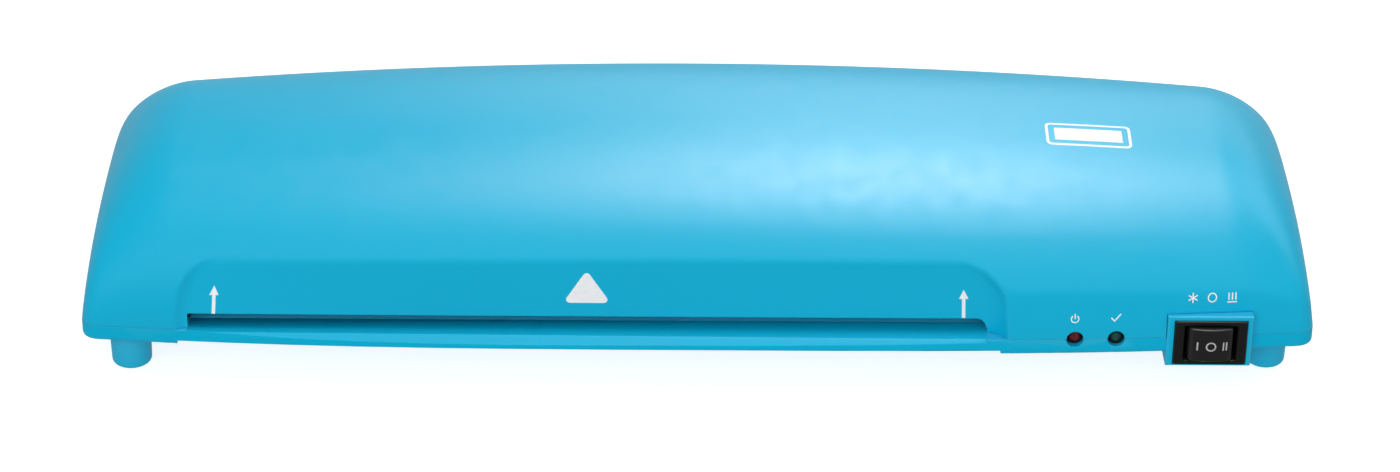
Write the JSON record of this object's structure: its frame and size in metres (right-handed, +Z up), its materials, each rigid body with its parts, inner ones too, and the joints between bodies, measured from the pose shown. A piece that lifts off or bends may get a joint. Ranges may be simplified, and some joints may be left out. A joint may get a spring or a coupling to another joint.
{
  "type": "pouch laminator",
  "caption": "Desktop pouch laminator: domed cover, front feed slot, rear exit, geared silicone rollers, heating shoes, gear motor, indicator lamps and rocker switch.",
  "frame": {"origin": "middle of the footprint's bounding box, on the table top under the feet", "axes": "+X to the right end where the switch is, -Y to the operator and the feed slot, +Z up"},
  "size_m": [0.3562, 0.1155, 0.065],
  "materials": {
    "cover_blue": "satin-gloss moulded ABS",
    "base_blue": "satin-gloss moulded ABS",
    "foot_blue": "satin moulded ABS",
    "screw_steel": "zinc plated",
    "gland_black": "moulded nylon",
    "switch_black": "fine satin nylon",
    "terminal_brass": "tinned brass",
    "rocker_black": "semi-gloss nylon with pale printed marks",
    "lamp_red": "unlit dark red lens",
    "lamp_green": "unlit dark green lens",
    "board_green": "solder-mask laminate",
    "plate_steel": "galvanised sheet",
    "bush_bronze": "sintered bronze",
    "block_white": "natural acetal",
    "spring_steel": "spring steel",
    "shaft_steel": "ground steel",
    "silicone": "matt silicone rubber",
    "gear_nylon": "natural nylon",
    "motor_case": "drawn steel can",
    "shoe_aluminium": "extruded, coated on the path side",
    "heater_mica": "mica wrapped element",
    "holder_brown": "heat-resistant moulding",
    "thermostat_black": "phenolic body",
    "fuse_white": "ceramic body",
    "lead_insulation": "silicone insulation",
    "guide_black": "moulded glass-filled nylon"
  },
  "bodies": {
    "casing": {"top_cover": "cover_blue", "base_shell": "base_blue", "foot_front_left": "foot_blue", "foot_front_right": "foot_blue", "foot_rear_left": "foot_blue", "foot_rear_right": "foot_blue", "cover_screws": "screw_steel", "plate_screws": "screw_steel", "cord_gland": "gland_black", "switch_body": "switch_black", "switch_terminals": "terminal_brass", "power_lamp": "lamp_red", "ready_lamp": "lamp_green", "indicator_board": "board_green", "board_screws": "screw_steel", "side_plate_left": "plate_steel", "side_plate_right": "plate_steel", "lower_bush_left": "bush_bronze", "lower_bush_right": "bush_bronze", "pressure_spring_left": "spring_steel", "pressure_spring_right": "spring_steel", "motor_bracket": "plate_steel", "motor_body": "motor_case", "motor_screws": "screw_steel", "lower_heating_shoe": "shoe_aluminium", "upper_heating_shoe": "shoe_aluminium", "lower_heater": "heater_mica", "upper_heater": "heater_mica", "shoe_holder_left": "holder_brown", "shoe_holder_right": "holder_brown", "holder_screws": "screw_steel", "thermostat": "thermostat_black", "thermal_fuse": "fuse_white", "motor_lead": "lead_insulation", "heater_lead": "lead_insulation", "lamp_lead": "lead_insulation", "entry_guide_lower": "base_blue", "entry_guide_upper": "base_blue", "exit_guide_lower": "guide_black", "exit_guide_upper": "guide_black"},
    "rocker": {"rocker": "rocker_black"},
    "drive": {"motor_shaft": "shaft_steel", "motor_pinion": "gear_nylon"},
    "lower_roller": {"lower_roller_shaft": "shaft_steel", "lower_roller_sleeve": "silicone", "lower_gear": "gear_nylon", "lower_retaining_ring": "spring_steel"},
    "upper_carriage": {"bearing_block_left": "block_white", "bearing_block_right": "block_white"},
    "upper_roller": {"upper_roller_shaft": "shaft_steel", "upper_roller_sleeve": "silicone", "upper_gear": "gear_nylon", "upper_retaining_ring": "spring_steel"}
  },
  "joints": [
    {"name": "rocker_tilt", "type": "hinge", "parent": "casing", "child": "rocker", "pos_m": [0.1475, -0.05055, 0.0163], "axis": [0, 0, 1], "range_deg": [-10, 10]},
    {"name": "lower_roller_spin", "type": "hinge", "parent": "casing", "child": "lower_roller", "pos_m": [0, 0.01245, 0.017], "axis": [1, 0, 0], "continuous": true},
    {"name": "drive_spin", "type": "hinge", "parent": "casing", "child": "drive", "pos_m": [0.1, -0.0026, 0.01965], "axis": [1, 0, 0], "continuous": true},
    {"name": "carriage_lift", "type": "slide", "parent": "casing", "child": "upper_carriage", "axis": [0, 0, 1], "range_m": [0, 0.0015], "stiffness_N_per_m": 8000, "springref_m": -0.003, "deforming": ["pressure_spring_left", "pressure_spring_right"]},
    {"name": "upper_roller_spin", "type": "hinge", "parent": "upper_carriage", "child": "upper_roller", "pos_m": [0, 0.01245, 0.0333], "axis": [1, 0, 0], "continuous": true}
  ],
  "couplings": [
    {"joint": "drive_spin", "follows": "lower_roller_spin", "ratio": -1.1429},
    {"joint": "upper_roller_spin", "follows": "lower_roller_spin", "ratio": -1}
  ]
}
